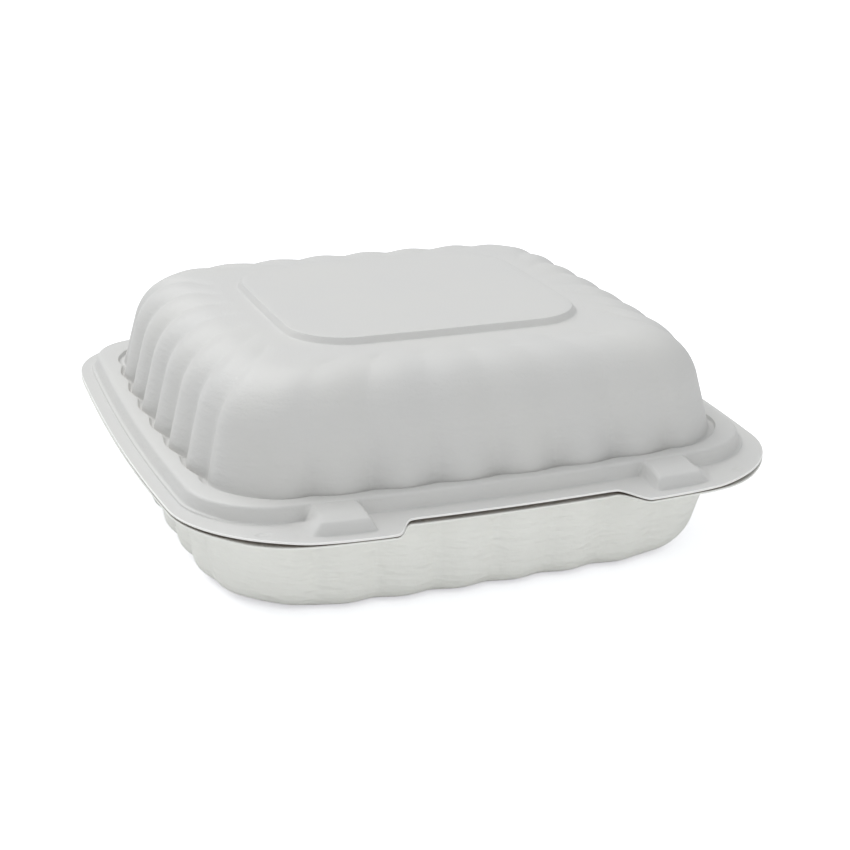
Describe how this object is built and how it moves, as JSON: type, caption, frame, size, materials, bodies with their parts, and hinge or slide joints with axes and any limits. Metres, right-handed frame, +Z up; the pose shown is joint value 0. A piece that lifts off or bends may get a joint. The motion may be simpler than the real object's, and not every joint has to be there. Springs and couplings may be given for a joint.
{
  "type": "three-compartment clamshell container",
  "caption": "Disposable three-compartment clamshell food container with a fluted domed lid, a living hinge at the back and snap locks at the front.",
  "frame": {"origin": "under the middle of the closed container, on the surface it stands on", "axes": "+X to the right seen from the front, +Y from the lock tabs to the hinge, +Z up"},
  "size_m": [0.211, 0.2105, 0.0782],
  "materials": {
    "lid_sheet": "satin",
    "tray_sheet": "satin"
  },
  "bodies": {
    "tray": {"tray": "tray_sheet", "hinge_web": "tray_sheet"},
    "lid": {"lid": "lid_sheet"}
  },
  "joints": [
    {"name": "lid_hinge", "type": "hinge", "parent": "tray", "child": "lid", "pos_m": [0, 0.1043, 0.03625], "axis": [-1, 0, 0], "range_deg": [0, 170], "deforming": ["hinge_web"]}
  ]
}
